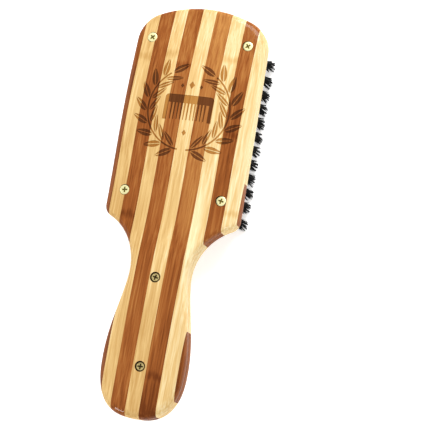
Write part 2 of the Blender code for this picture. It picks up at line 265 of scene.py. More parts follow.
def rip(board, node):
    """The strip of a board that stands for a CAD node, ripped out between its glue lines."""
    index = int(node.split("_")[2])
    lines = glue_lines()
    take(board)
    bpy.ops.object.duplicate()
    strip = bpy.context.object
    strip.name = node + "_bamboo"
    bpy.ops.object.mode_set(mode="EDIT")
    if index > 0:
        place = (lines[index - 1] + GLUE / 2, 0.0, 0.0)
        slice_all(place, -ACROSS, use_fill=True, clear_outer=True)
    if index < len(lines):
        place = (lines[index] - GLUE / 2, 0.0, 0.0)
        slice_all(place, ACROSS, use_fill=True, clear_outer=True)
    low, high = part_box(node)
    if low.y > NECK_Y:
        slice_all((0.0, NECK_Y, 0.0), (0.0, 1.0, 0.0), clear_inner=True)
    elif high.y < NECK_Y:
        slice_all((0.0, NECK_Y, 0.0), (0.0, 1.0, 0.0), clear_outer=True)
    bpy.ops.mesh.select_all(action="SELECT")
    bpy.ops.mesh.remove_doubles(threshold=0.004 * MM)
    bpy.ops.mesh.normals_make_consistent(inside=False)
    bpy.ops.object.mode_set(mode="OBJECT")
    smooth(strip)
    return strip


def smooth(piece):
    """Shade a piece smooth, with its sawn and turned corners kept sharp."""
    take(piece)
    bpy.ops.object.shade_smooth_by_angle(angle=math.radians(28))


# How pale or dark each strip of cane is beside the others of its kind, from left to right. Partly
# painted light: the pale tone of strip 9, near the right edge, stands in part for light falling on that
# side.
TONES = (-1.2, -1.1, -0.3, -0.2, 0.5, 0.3, 0.7, 1.2, -0.2, 1.4, -0.5)
PALER_TO_HEAD = {4: -0.6, 6: 1.4}            # strips whose cane changes along its length
KNUCKLES = {6: -86 * MM}      # where one strip has its knuckle; the others' lie anywhere


def stamp(strip):
    """Give a strip its own tone, grain shift and knuckle place, as attributes of its mesh.

    A cut leaves new faces without them, so each cut is followed by a new stamp.
    """
    draw = random.Random(strip.name)
    index = int(strip.name.split("_")[2])
    own = {"tone": TONES[index] + draw.uniform(-0.15, 0.15), "shift": draw.uniform(0.0, 1.0),
           "along": PALER_TO_HEAD.get(index, 0.0),
           "knuckle": KNUCKLES.get(index, draw.uniform(-1.4, 1.4) * HALF_LENGTH)}
    for name, value in own.items():
        layer = strip.data.attributes.get(name)
        if layer:
            strip.data.attributes.remove(layer)
        layer = strip.data.attributes.new(name, "FLOAT", "FACE")
        layer.data.foreach_set("value", [value] * len(strip.data.polygons))


def carve(strip, tool, **how):
    """Cut a tool's shape out of a strip."""
    take(strip)
    modifier = strip.modifiers.new("cut", "BOOLEAN")
    modifier.object = tool
    modifier.solver = "EXACT"
    for name, value in how.items():
        setattr(modifier, name, value)
    bpy.ops.object.modifier_apply(modifier=modifier.name)
    smooth(strip)
    stamp(strip)


def srgb(code):
    """A hex colour as linear light."""
    values = [int(code[place:place + 2], 16) / 255 for place in (1, 3, 5)]
    return tuple(v / 12.92 if v <= 0.04045 else ((v + 0.055) / 1.055) ** 2.4 for v in values) + (1.0,)


def add(material, kind, settings=None, links=None):
    """Add a node with its settings and the outputs or values that go into its sockets."""
    tree = material.node_tree
    node = tree.nodes.new("ShaderNode" + kind)
    for name, value in (settings or {}).items():
        setattr(node, name, value)
    for socket, value in (links or {}).items():
        if isinstance(value, bpy.types.NodeSocket):
            tree.links.new(value, node.inputs[socket])
        else:
            node.inputs[socket].default_value = value
    return node


def new_material(name, **values):
    """A material with one Principled shader, and that shader."""
    material = bpy.data.materials.new(name)
    material.use_nodes = True
    shader = material.node_tree.nodes["Principled BSDF"]
    for socket, value in values.items():
        shader.inputs[socket.replace("_", " ")].default_value = value
    return material, shader


def math_node(material, operation, first, second=0.0):
    """The output of a Math node."""
    return add(material, "Math", {"operation": operation}, {0: first, 1: second}).outputs[0]


# How much each thing changes the bamboo's tone, from 0 at its darkest to 1 at its palest.
FIBRE_SHARE = 0.85
DRIFT_SHARE = 0.45
TONE_SHARE = 0.10             # for each step in TONES
KNUCKLE_SHARE = 0.14
GRIP_END_SHADE_SHARE = 0.15          # painted shade: darker towards the grip's end, for the light that falls off there
GRIP_END_SHADE_FROM = 20 * MM


def bamboo(name, low, mid, high, pore, pore_share, coat):
    """Bamboo: long fibres, dark vessel dashes, slow drifts of tone and a knuckle, under varnish."""
    material, shader = new_material(name, Roughness=0.5, Specular_IOR_Level=0.0, Coat_Weight=coat,
                                    Coat_Roughness=0.08, Coat_IOR=1.5)
    shift = add(material, "Attribute", {"attribute_name": "shift"}).outputs["Fac"]
    tone = add(material, "Attribute", {"attribute_name": "tone"}).outputs["Fac"]
    paler = add(material, "Attribute", {"attribute_name": "along"}).outputs["Fac"]
    knuckle = add(material, "Attribute", {"attribute_name": "knuckle"}).outputs["Fac"]
    place = add(material, "TexCoord").outputs["Object"]
    along = add(material, "Mapping", None, {"Vector": place, "Rotation": (0.0, 0.0, STRIP_SKEW)})
    seed = math_node(material, "MULTIPLY", shift, 40.0)

    def grain(width, length, detail, rough=0.5):
        """Noise drawn out along the strip; width and length are a fibre's own, in metres."""
        scaled = add(material, "Mapping", None, {"Vector": along.outputs[0],
                                                 "Scale": (1 / width, 1 / length, 1 / width)})
        noise = add(material, "TexNoise", {"noise_dimensions": "4D"},
                    {"Vector": scaled.outputs[0], "W": seed, "Scale": 1.0, "Detail": detail,
                     "Roughness": rough})
        return noise.outputs["Fac"]

    # Fibre bundles are about 0.4 mm wide here, twice the real ones, so that they still show.
    fibres = grain(0.9 * MM, 38 * MM, 3.0, 0.62)
    vessels = grain(0.42 * MM, 5.5 * MM, 2.0)
    drift = grain(9 * MM, 70 * MM, 1.0)

    # A knuckle is where the cane had a joint: a band a few millimetres long.
    split = add(material, "SeparateXYZ", None, {0: along.outputs[0]})
    wobble = math_node(material, "MULTIPLY", grain(2.2 * MM, 9 * MM, 1.0), 5 * MM)
    from_knuckle = math_node(material, "ABSOLUTE", math_node(
        material, "SUBTRACT", math_node(material, "ADD", split.outputs["Y"], wobble), knuckle))
    band = add(material, "MapRange", {"interpolation_type": "SMOOTHSTEP"},
               {0: from_knuckle, 1: 0.0, 2: 3.2 * MM, 3: 1.0, 4: 0.0}).outputs[0]

    light = math_node(material, "ADD", math_node(material, "MULTIPLY", fibres, FIBRE_SHARE),
                      math_node(material, "MULTIPLY", drift, DRIFT_SHARE))
    change = math_node(material, "MULTIPLY", split.outputs["Y"], 1 / HALF_LENGTH)
    tone = math_node(material, "ADD", tone, math_node(material, "MULTIPLY", change, paler))
    light = math_node(material, "ADD", light, math_node(material, "MULTIPLY", tone, TONE_SHARE))
    knuckle_shade = math_node(material, "MULTIPLY", band, KNUCKLE_SHARE)
    light = math_node(material, "SUBTRACT", light, knuckle_shade)
    # Painted shade: the bamboo darkens towards the grip's end, standing in for the light that falls off
    # along the brush.
    grip_end_shade = add(material, "MapRange", None, {0: split.outputs["Y"], 1: GRIP_END_SHADE_FROM,
                                               2: -HALF_LENGTH, 3: 0.0, 4: GRIP_END_SHADE_SHARE}).outputs[0]
    light = math_node(material, "SUBTRACT", light, grip_end_shade)
    ramp = add(material, "ValToRGB", None, {"Fac": light})
    stops = ramp.color_ramp.elements
    stops[0].position, stops[0].color = 0.40, srgb(low)
    stops[1].position, stops[1].color = 0.98, srgb(high)
    middle = stops.new(0.64)
    middle.color = srgb(mid)

    dashes = add(material, "MapRange", {"interpolation_type": "SMOOTHSTEP"},
                 {0: vessels, 1: 0.60, 2: 0.74, 3: 0.0, 4: pore_share}).outputs[0]
    mixed = add(material, "Mix", {"data_type": "RGBA"},
                {0: dashes, 6: ramp.outputs["Color"], 7: srgb(pore)}).outputs[2]
    links = material.node_tree.links
    links.new(mixed, shader.inputs["Base Color"])
    relief = math_node(material, "SUBTRACT", fibres, math_node(material, "MULTIPLY", dashes, 0.7))
    bump = add(material, "Bump", None, {"Strength": 0.12, "Distance": 0.05 * MM, "Height": relief})
    links.new(bump.outputs[0], shader.inputs["Normal"])
    return material


# Natural bamboo: pale straw, low contrast, thin tan vessel dashes under a glossy varnish.
natural = bamboo("natural_bamboo_varnished", "#b68e54", "#cfae74", "#e9deb4", "#a27f49", 0.25, 0.26)
# Carbonised bamboo: steamed to a warm brown, streakier, with dark vessel dashes.
carbonised = bamboo("carbonised_bamboo_varnished", "#612f0f", "#8b4e22", "#b47d42", "#45200a", 0.35,
                    0.26)

strips = {}
back_board = blank(BACK_LOW, BACK_TOP, ((BACK_TOP, RIM_INSET), (BACK_LOW, SEAM_BREAK)))
score_back(back_board)
face_board = blank(FACE_LOW, FACE_TOP, ((FACE_LOW, FACE_ROUND), (FACE_TOP, SEAM_BREAK)))
for node in sorted(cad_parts):
    if "_strip_" in node:
        strip = rip(back_board if node.startswith("back") else face_board, node)
        stamp(strip)
        strip.data.materials.append(natural if "light" in node else carbonised)
        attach(strip, "root")
        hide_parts(node)
        strips[node] = strip
for board in (back_board, face_board):
    bpy.data.objects.remove(board)

# Drawn tufts ---------------------------------------------------------------------------------
# Stiff black boar bristle, set in nine staggered columns of holes in the face board. A bundle is
# folded over a drawing wire that lies in a groove on the board's upper side, pulled down into
# its hole, and trimmed, so that each tuft stands straight in the hole and flares below it.

COLUMNS = 9
COLUMN_PITCH = 7.7 * MM
TUFT_PITCH = 7.8 * MM
FIRST_TUFT_Y = 2.3 * MM       # in every second column half a pitch more
HOLE_RADIUS = 1.5 * MM
TUFT_TOP = FACE_TOP - 0.8 * MM
WIRE_RADIUS = 0.4 * MM
GROOVE_WIDTH = 1.6 * MM
GROOVE_DEPTH = 1.5 * MM
LOCKS = 11                    # pointed locks in one tuft
BRISTLES = 110                # in one tuft, beside the ones stuck together inside its locks
BRISTLE_RADIUS = 0.18 * MM    # more than the real 0.1 mm, so that single ones show
LOCK_RADIUS = 0.7 * MM
ROOT_SPREAD = 1.15 * MM       # radius of the bundle in its hole
TIP_SPREAD = 3.4 * MM         # and at its tips
BRUSHED = 1.12                # how much wider lengthways use has pressed the tips
OUTER_LIMIT = cad_high.x - 0.05 * MM         # no tip lies farther out than this
OUTER_BEND = 1.3 * MM         # how far inside it the outermost bristles start to bend back
LEAN = math.radians(3.4)      # more for each column away from the middle
END_LEAN = math.radians(6.0)  # of the first and last tuft of a column
# Heights of a bristle's rings: its root, where it leaves its hole, two between, and its tip.
LEVELS = (TUFT_TOP, FACE_LOW, 0.72 * FACE_LOW, 0.38 * FACE_LOW, 0.0)


def tuft_rows():
    """For each column its number, its X, and the Y of its tufts from the CAD column's own box."""
    rows = []
    for index in range(COLUMNS):
        place = index - COLUMNS // 2
        low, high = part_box(f"tuft_column_{index + 1}")
        start = FIRST_TUFT_Y + (TUFT_PITCH / 2 if place % 2 else 0.0)
        count = round((high.y - low.y) / TUFT_PITCH)
        rows.append((index + 1, place, place * COLUMN_PITCH,
                     [start + step * TUFT_PITCH for step in range(count)]))
    return rows


def spiral(order, count, radius):
    """A place in a round bundle, evenly filled."""
    turn = order * math.pi * (3.0 - math.sqrt(5.0))
    reach = radius * math.sqrt((order + 0.5) / count)
    return Vector((reach * math.cos(turn), reach * math.sin(turn), 0.0))


def bristle(root, tip, radii, sides):
    """One bristle or lock from its root to its tip, straight in the hole and flaring below it."""
    bpy.ops.mesh.primitive_cylinder_add(vertices=sides, radius=1.0, depth=1.0)
    piece = bpy.context.object
    bpy.ops.object.mode_set(mode="EDIT")
    for level in (-0.25, 0.0, 0.25):
        slice_all((0.0, 0.0, level), (0.0, 0.0, 1.0))
    bpy.ops.object.mode_set(mode="OBJECT")
    for vert in piece.data.vertices:
        level = round(2 - vert.co.z * 4)
        down = max(0.0, FACE_LOW - LEVELS[level]) / FACE_LOW
        middle = root.lerp(tip, down ** 1.4)
        z = LEVELS[level] if level < 4 else tip.z
        vert.co = (middle.x + vert.co.x * radii[level], middle.y + vert.co.y * radii[level], z)
    return piece


def bristle_bundle(seed):
    """One tuft at the origin: bristles that stick together in a few pointed locks."""
    draw = random.Random(seed)
    locks = [spiral(order, LOCKS, TIP_SPREAD * 0.93) for order in range(LOCKS)]
    for lock in locks:
        lock += Vector((draw.gauss(0.0, 0.25 * MM), draw.gauss(0.0, 0.25 * MM),
                        draw.uniform(0.0, 1.6 * MM)))
        lock.xy *= min(1.0, TIP_SPREAD / lock.xy.length)
    pieces = []
    for lock in locks:
        root = Vector((lock.x, lock.y, 0.0)) * (0.7 * ROOT_SPREAD / TIP_SPREAD)
        radii = [LOCK_RADIUS * share for share in (0.5, 0.6, 1.0, 0.8, 0.1)]
        pieces.append(bristle(root, lock, radii, 5))
    for order in range(BRISTLES):
        root = spiral(order, BRISTLES, ROOT_SPREAD)
        wanted = root * (TIP_SPREAD / ROOT_SPREAD)
        lock = min(locks, key=lambda lock: (lock.xy - wanted.xy).length)
        tip = wanted.lerp(Vector((lock.x, lock.y, 0.0)), draw.uniform(0.25, 0.8))
        tip += Vector((draw.gauss(0.0, 0.2 * MM), draw.gauss(0.0, 0.2 * MM), 0.0))
        tip *= min(1.0, TIP_SPREAD / tip.length)
        tip.z = min(lock.z + draw.uniform(0.0, 0.8 * MM), 2.2 * MM)
        radii = [BRISTLE_RADIUS * share for share in (1.0, 1.0, 0.95, 0.8, 0.4)]
        pieces.append(bristle(root, tip, radii, 4))
    bpy.ops.object.select_all(action="DESELECT")
    for piece in pieces:
        piece.select_set(True)
    bpy.context.view_layer.objects.active = pieces[0]
    bpy.ops.object.join()
    return bpy.context.object


def bent_back(x):
    """X of a bristle that would lie at x if use hadn't bent the outermost ones back."""
    over = abs(x) - (OUTER_LIMIT - OUTER_BEND)
    if over <= 0.0:
        return x
    return math.copysign(OUTER_LIMIT - OUTER_BEND * math.exp(-over / OUTER_BEND), x)


def boar_bristle():
    """Black boar bristle: near black keratin with a brown cast, satin, a little paler at the tips."""
    material, shader = new_material("black_boar_bristle", Roughness=0.45, Specular_IOR_Level=0.03)
    place = add(material, "TexCoord").outputs["Object"]
    height = add(material, "SeparateXYZ", None, {0: place}).outputs["Z"]
    tip = add(material, "MapRange", None, {0: height, 1: 4 * MM, 2: 0.0, 3: 0.0, 4: 1.0}).outputs[0]
    blotch = add(material, "TexNoise", None, {"Vector": place, "Scale": 1 / (0.6 * MM), "Detail": 1.0})
    share = math_node(material, "MULTIPLY", tip, blotch.outputs["Fac"])
    colour = add(material, "Mix", {"data_type": "RGBA"},
                 {0: share, 6: srgb("#030202"), 7: srgb("#0e0b09")})
    material.node_tree.links.new(colour.outputs[2], shader.inputs["Base Color"])
    return material


def drill_faces():
    """The two tools that leave the tufts' holes and the wires' grooves in the face board."""
    holes, grooves = [], []
    for _, _, x, ys in tuft_rows():
        for y in ys:
            bpy.ops.mesh.primitive_cylinder_add(vertices=20, radius=HOLE_RADIUS, depth=2 * FACE_TOP,
                                                location=(x, y, FACE_TOP))
            holes.append(bpy.context.object)
        bpy.ops.mesh.primitive_cube_add(size=1.0, location=(x, (ys[0] + ys[-1]) / 2, FACE_TOP))
        groove = bpy.context.object
        groove.scale = (GROOVE_WIDTH, ys[-1] - ys[0] + 4 * HOLE_RADIUS, 2 * GROOVE_DEPTH)
        grooves.append(groove)
    joined = []
    for tools in (holes, grooves):
        bpy.ops.object.select_all(action="DESELECT")
        for tool in tools:
            tool.select_set(True)
        bpy.context.view_layer.objects.active = tools[0]
        bpy.ops.object.join()
        bpy.ops.object.transform_apply(location=True, rotation=True, scale=True)
        joined.append(bpy.context.object)
    return joined


for tool in drill_faces():
    for node, strip in strips.items():
        low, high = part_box(node)
        if node.startswith("face") and high.y > 0.0:
            carve(strip, tool)
    bpy.data.objects.remove(tool)

bristle_black = boar_bristle()
# Drawing wire: bright drawn steel, plain and a little dull.
wire_steel, _ = new_material("drawing_wire_steel", Metallic=1.0, Roughness=0.32,
                             Base_Color=srgb("#b9b7b2"))
BUNDLE_SEEDS = (3, 8, 21, 34)
bundles = [bristle_bundle(seed) for seed in BUNDLE_SEEDS]
chooser = random.Random(5)
for number, place, x, ys in tuft_rows():
    bpy.ops.object.select_all(action="DESELECT")
    copies = []
    for order, y in enumerate(ys):
        source = chooser.choice(bundles)
        tuft = source.copy()
        tuft.data = source.data.copy()
        bpy.context.scene.collection.objects.link(tuft)
        end_lean = {0: -END_LEAN, len(ys) - 1: END_LEAN}.get(order, 0.0)
        spin = Matrix.Rotation(chooser.uniform(0.0, 2 * math.pi), 4, "Z")
        tuft.data.transform(spin)
        for vert in tuft.data.vertices:
            down = max(0.0, FACE_LOW - vert.co.z)
            vert.co.x = bent_back(vert.co.x + x + down * math.tan(place * LEAN))
            vert.co.y *= 1.0 + (BRUSHED - 1.0) * down / FACE_LOW
            vert.co.y += y + down * math.tan(end_lean)
        copies.append(tuft)
        tuft.select_set(True)
    bpy.context.view_layer.objects.active = copies[0]
    bpy.ops.object.join()
    column = bpy.context.object
    column.name = f"bristle_column_{number}"
    column.data.materials.clear()
    column.data.materials.append(bristle_black)
    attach(column, "root")
    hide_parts(f"tuft_column_{number}")

    bpy.ops.object.select_all(action="DESELECT")
    bpy.ops.mesh.primitive_cylinder_add(
        vertices=12, radius=WIRE_RADIUS, depth=ys[-1] - ys[0] + 2 * HOLE_RADIUS,
        location=(x, (ys[0] + ys[-1]) / 2, TUFT_TOP - WIRE_RADIUS), rotation=(math.pi / 2, 0.0, 0.0))
    wire = bpy.context.object
    wire.name = f"drawing_wire_{number}"
    bpy.ops.object.transform_apply(location=True, rotation=True, scale=True)
    smooth(wire)
    wire.data.materials.append(wire_steel)
    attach(wire, "root")
for bundle in bundles:
    bpy.data.objects.remove(bundle)

# Burnt mark ------------------------------------------------------------------------------------
# A round mark on the back of the head, burnt in by laser: an open wreath of bamboo leaves round a
# comb and four diamonds. The beam takes away a little over a tenth of a millimetre of wood and
# browns what is left.

MARK = Vector((1.5 * MM, 54 * MM, 0.0))
BURN_DEPTH = 0.14 * MM
STEM_RADIUS = 22.5 * MM
STEM_WIDTH = 0.9 * MM
LEAF_LENGTH = 10.0 * MM
LEAF_WIDTHS = {-1: 2.6 * MM, 1: 3.6 * MM}    # inside and outside the stem
LEAF_LEAN = math.radians(38)  # away from the stem
VEIN = 0.4 * MM
LEAVES = 8                    # on each side of a branch
BRANCH_START = math.radians(-84)
BRANCH_END = math.radians(56)
COMB_LENGTH = 27 * MM
COMB_SPINE = 4.6 * MM
COMB_ROUND = 2 * MM           # of the spine's corners
COMB_GUARD = 2.2 * MM         # width of the thick tooth at each end
COMB_DROP = 2 * MM            # sets the comb's middle on the mark's
TOOTH = 9.5 * MM
TOOTH_WIDTH = 1.0 * MM
TOOTH_PITCH = 1.85 * MM
# X, Y and size of each diamond, in millimetres.
DIAMONDS = ((0.0, 13.0, 2.2), (-5.2, 12.3, 1.3), (5.2, 12.3, 1.3), (0.0, -13.2, 1.7))
MARK_REACH = 34 * MM          # half the side of a square that holds the whole mark


def flat_shape(points):
    """A flat face through points in the mark's own plane."""
    bpy.ops.mesh.primitive_circle_add(vertices=len(points), radius=MM, fill_type="NGON")
    shape = bpy.context.object
    for vert, (x, y) in zip(shape.data.vertices, points):
        vert.co = (x, y, 0.0)
    return shape


def half_leaf(hand, width):
    """Points of one half of a leaf that grows along +Y from the origin, beside its vein."""
    vein, half = VEIN / 2, (width - VEIN) / 2
    steps = 10
    rim = [(hand * (vein + half * math.sin(math.pi * (step / steps) ** 0.8) ** 0.9),
            step / steps * LEAF_LENGTH) for step in range(1, steps)]
    return [(hand * vein, 0.1 * MM)] + rim + [(hand * vein, 0.99 * LEAF_LENGTH)]


def turned_and_moved(points, angle, place):
    """Points turned about the origin by an angle, then moved to a place."""
    turn = Matrix.Rotation(angle, 2)
    moved = [turn @ Vector(point) for point in points]
    return [(point.x + place[0], point.y + place[1]) for point in moved]


def on_branch(angle, hand, radius=STEM_RADIUS):
    """A place on the left or right branch."""
    return (hand * radius * math.cos(angle), radius * math.sin(angle))


def wreath():
    """Both branches, with leaves inside and outside the stem."""
    shapes = []
    for hand in (-1, 1):
        steps = 40
        angles = [BRANCH_START + (BRANCH_END - BRANCH_START) * step / steps for step in range(steps + 1)]
        inner = [on_branch(angle, hand, STEM_RADIUS - STEM_WIDTH / 2) for angle in angles]
        outer = [on_branch(angle, hand, STEM_RADIUS + STEM_WIDTH / 2) for angle in angles]
        shapes.append(inner + outer[::-1])
        for number in range(LEAVES):
            angle = BRANCH_START + (BRANCH_END - BRANCH_START) * (number + 0.4) / LEAVES
            tangent = angle if hand > 0 else math.pi - angle
            for side in (-1, 1):
                lean = -hand * side * LEAF_LEAN
                root = on_branch(angle, hand, STEM_RADIUS + side * (STEM_WIDTH / 2 + 0.45 * MM))
                grow = tangent if hand > 0 else tangent - math.pi
                for half in (-1, 1):
                    leaf = half_leaf(half, LEAF_WIDTHS[side])
                    shapes.append(turned_and_moved(leaf, grow + lean, root))
        angle = BRANCH_END + math.radians(3)
        grow = angle if hand > 0 else -angle
        for half in (-1, 1):
            leaf = half_leaf(half, LEAF_WIDTHS[1])
            shapes.append(turned_and_moved(leaf, grow, on_branch(angle, hand)))
    return shapes


def comb():
    """A plain comb: a spine with rounded ends and a row of teeth between two thick guards."""
    half, top = COMB_LENGTH / 2, COMB_SPINE + TOOTH / 2 - COMB_DROP
    inner = half - COMB_GUARD
    points = [(-half, top - COMB_SPINE - TOOTH), (-half, top - COMB_ROUND)]
    points += arc((-half + COMB_ROUND, top - COMB_ROUND), COMB_ROUND, math.pi, math.pi / 2, 6)
    points += arc((half - COMB_ROUND, top - COMB_ROUND), COMB_ROUND, math.pi / 2, 0.0, 6)
    points += [(half, top - COMB_ROUND), (half, top - COMB_SPINE - TOOTH)]
    points += [(inner, top - COMB_SPINE - TOOTH), (inner, top - COMB_SPINE)]
    count = int((COMB_LENGTH - 2 * COMB_GUARD - TOOTH_PITCH) / TOOTH_PITCH)
    start = (count - 1) / 2 * TOOTH_PITCH
    for number in range(count):
        x = start - number * TOOTH_PITCH
        low = top - COMB_SPINE - TOOTH + 0.4 * MM
        points += [(x + TOOTH_WIDTH / 2, top - COMB_SPINE), (x + TOOTH_WIDTH / 4, low),
                   (x - TOOTH_WIDTH / 4, low), (x - TOOTH_WIDTH / 2, top - COMB_SPINE)]
    points += [(-inner, top - COMB_SPINE), (-inner, top - COMB_SPINE - TOOTH)]
    return [points]


def diamonds():
    """A row of three diamonds over the comb and one under it."""
    shapes = []
    for x, y, size in DIAMONDS:
        size *= MM
        x, y = x * MM, y * MM
        shapes.append([(x, y + size), (x + size * 0.7, y), (x, y - size), (x - size * 0.7, y)])
    return shapes


def mark_tool():
    """The mark as a solid that reaches the burn's depth under the crowned back all over."""
    bpy.ops.object.select_all(action="DESELECT")
    shapes = [flat_shape(points) for points in wreath() + comb() + diamonds()]
    for shape in shapes:
        shape.select_set(True)
    bpy.ops.object.join()
    tool = bpy.context.object
    tool.location = MARK
    bpy.ops.object.transform_apply(location=True, rotation=True, scale=True)
    bpy.ops.object.mode_set(mode="EDIT")
    for step in range(int(2 * MARK_REACH / CUT_EVERY) + 1):
        away = -MARK_REACH + step * CUT_EVERY
        slice_all(MARK + Vector((away, 0.0, 0.0)), (1.0, 0.0, 0.0))
        slice_all(MARK + Vector((0.0, away, 0.0)), (0.0, 1.0, 0.0))
    bpy.ops.mesh.select_all(action="SELECT")
    bpy.ops.mesh.extrude_region_move(TRANSFORM_OT_translate={"value": (0.0, 0.0, MM)})
    bpy.ops.mesh.select_all(action="SELECT")
    bpy.ops.mesh.normals_make_consistent(inside=False)
    bpy.ops.object.mode_set(mode="OBJECT")
    for vert in tool.data.vertices:
        vert.co.z += BACK_TOP - crown_fall(vert.co.x, vert.co.y) - BURN_DEPTH
    return tool


# Burnt bamboo: the same wood seen through a thin brown char, dull because the burn is unvarnished.
burnt_natural = bamboo("burnt_natural_bamboo", "#855422", "#9f6d34", "#b6874a", "#6a4018", 0.4, 0.08)
burnt_carbonised = bamboo("burnt_carbonised_bamboo", "#3c1b0c", "#553017", "#693d20", "#2a1006", 0.4,
                          0.08)
mark_cutter = mark_tool()
for node, strip in strips.items():
    low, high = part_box(node)
    if node.startswith("back") and high.y > MARK.y:
        mark_cutter.data.materials.clear()
        mark_cutter.data.materials.append(burnt_natural if "light" in node else burnt_carbonised)
        carve(strip, mark_cutter, material_mode="TRANSFER")
bpy.data.objects.remove(mark_cutter)

# Wood screws -----------------------------------------------------------------------------------
# Number 4 brass wood screws with countersunk cross-recess heads hold the back board on the face
# board. The four in the head are bright and sit nearly flush. The two in the grip sit deeper and
# are dark brown, partly tarnish and partly a painted dark reflection.

HEAD_RADIUS = 2.6 * MM
HEAD_RIM = 0.3 * MM           # height of the head's upright rim
CONE = 1.5 * MM               # height of the countersink under it
CORE_RADIUS = 0.95 * MM
THREAD_RADIUS = 1.3 * MM
THREAD_PITCH = 0.9 * MM
POINT = 1.2 * MM
HOLE_GAP = 0.24 * MM          # between a screw and the wall of its hole
GRIP_SINK = 0.25 * MM         # how much deeper the grip's screws sit
RECESS = 3.0 * MM             # across the cross recess
RECESS_SLOT = 0.85 * MM
RECESS_DEPTH = 0.8 * MM
RECESS_LOW = 1.2 * MM         # no part of the cross lies deeper than this
TOP_SKIN = 0.05 * MM          # what lies closer to the top than this is the head's face
FACE_RADIUS = 2.0 * MM        # the middle of the head; outside it the grip's screws get painted shade for their sunk rim
SCREW_SIDES = 40
HOLE_TOOL_TOP = 3 * MM        # how far the tool for a hole stands out of the back
HOLE_END = 0.3 * MM           # radius of a hole's end, and its depth under the screw's point


def turned_piece(profile, sides):
    """A solid turned about Z from (radius, z) points that run from its top down to its tip."""
    bpy.ops.object.select_all(action="DESELECT")
    bpy.ops.mesh.primitive_circle_add(vertices=sides, radius=profile[0][0], fill_type="NGON",
                                      location=(0.0, 0.0, profile[0][1]))
    piece = bpy.context.object
    bpy.ops.object.transform_apply(location=True, rotation=True, scale=True)
    bpy.ops.object.mode_set(mode="EDIT")
    bpy.ops.mesh.select_all(action="SELECT")
    for (radius, z), (next_radius, next_z) in zip(profile, profile[1:]):
        bpy.ops.mesh.extrude_region_move(TRANSFORM_OT_translate={"value": (0.0, 0.0, next_z - z)})
        share = next_radius / radius
        bpy.ops.transform.resize(value=(share, share, 1.0), center_override=(0.0, 0.0, 0.0))
    bpy.ops.mesh.select_all(action="SELECT")
    bpy.ops.mesh.normals_make_consistent(inside=False)
    bpy.ops.object.mode_set(mode="OBJECT")
    return piece


def screw_profile(length):
    """Head, cone, threaded shank and point. The head's face falls a little towards its rim."""
    profile = [(FACE_RADIUS, 0.0), (HEAD_RADIUS - 0.12 * MM, -0.02 * MM),
               (HEAD_RADIUS, -0.08 * MM), (HEAD_RADIUS, -HEAD_RIM),
               (CORE_RADIUS, -HEAD_RIM - CONE)]
    z = -HEAD_RIM - CONE - 0.2 * MM
    while z - THREAD_PITCH > -length + POINT:
        profile += [(CORE_RADIUS, z), (THREAD_RADIUS, z - THREAD_PITCH * 0.45),
                    (THREAD_RADIUS, z - THREAD_PITCH * 0.55), (CORE_RADIUS, z - THREAD_PITCH * 0.9)]
        z -= THREAD_PITCH
    return profile + [(CORE_RADIUS, -length + POINT), (0.08 * MM, -length)]


def make_screw(length):
    """One screw with its head's top at the origin."""
    screw = turned_piece(screw_profile(length), SCREW_SIDES)
    bpy.ops.mesh.primitive_cube_add(size=1.0)
    cutter = bpy.context.object
    cutter.scale = (RECESS, RECESS_SLOT, 2 * RECESS_DEPTH)
    bpy.ops.object.transform_apply(location=True, rotation=True, scale=True)
    for vert in cutter.data.vertices:
        vert.co.x *= 0.4 if vert.co.z < 0.0 else 1.6
        vert.co.y *= 0.8 if vert.co.z < 0.0 else 1.2
    for quarter in (0, 1):
        cutter.rotation_euler.z = quarter * math.pi / 2
        bpy.context.view_layer.update()
        take(screw)
        modifier = screw.modifiers.new("recess", "BOOLEAN")
        modifier.object = cutter
        bpy.ops.object.modifier_apply(modifier=modifier.name)
    bpy.data.objects.remove(cutter)
    smooth(screw)
    return screw


def brass(name, bright, dull, tarnish_and_dark_reflection, roughness):
    """Turned brass: pale yellow metal, duller and browner in noise spots of tarnish, and in painted
    shade on the faces marked "hollow".
    """
    material, shader = new_material(name, Metallic=0.8)
    place = add(material, "TexCoord").outputs["Object"]
    spots = add(material, "TexNoise", None, {"Vector": place, "Scale": 1 / (0.9 * MM), "Detail": 4.0,
                                             "Roughness": 0.65}).outputs["Fac"]
    # The "hollow" faces, the cross and the rim round a grip screw's sunk head, take the dark colour as
    # painted shade.
    hollow = add(material, "Attribute", {"attribute_name": "hollow"}).outputs["Fac"]
    tarnish_and_painted_dark = add(material, "MapRange", None, {0: spots, 1: 0.45, 2: 0.75, 3: 0.0, 4: tarnish_and_dark_reflection}).outputs[0]
    tarnish_and_painted_dark = math_node(material, "MAXIMUM", tarnish_and_painted_dark, hollow)
    colour = add(material, "Mix", {"data_type": "RGBA"}, {0: tarnish_and_painted_dark, 6: srgb(bright), 7: srgb(dull)})
    links = material.node_tree.links
    links.new(colour.outputs[2], shader.inputs["Base Color"])
    rough = add(material, "MapRange", None, {0: tarnish_and_painted_dark, 1: 0.0, 2: 1.0, 3: roughness, 4: 0.55})
    links.new(rough.outputs[0], shader.inputs["Roughness"])
    bump = add(material, "Bump", None, {"Strength": 0.15, "Distance": 0.03 * MM, "Height": spots})
    links.new(bump.outputs[0], shader.inputs["Normal"])
    return material


# Bright brass: polished pale yellow, with painted shade in the cross.
bright_brass = brass("bright_turned_brass", "#fff8bc", "#85752f", 0.15, 0.42)
# Aged brass: yellow in the middle of the head, nearly black brown round it and in the cross as painted
# shade, and broadly darkened brown, partly as tarnish and partly as a painted dark reflection.
tarnished_brass_dark_reflection = brass("aged_brown_brass", "#dcc888", "#4a3818", 0.8, 0.42)
# The wall of a screw's hole, in the cane's end grain: painted shade, a near black brown for the shadow
# in the gap round the screw's head.
hole_wall_shade, _ = new_material("dirty_screw_hole", Base_Color=srgb("#33200f"), Roughness=0.8,
                            Specular_IOR_Level=0.1)

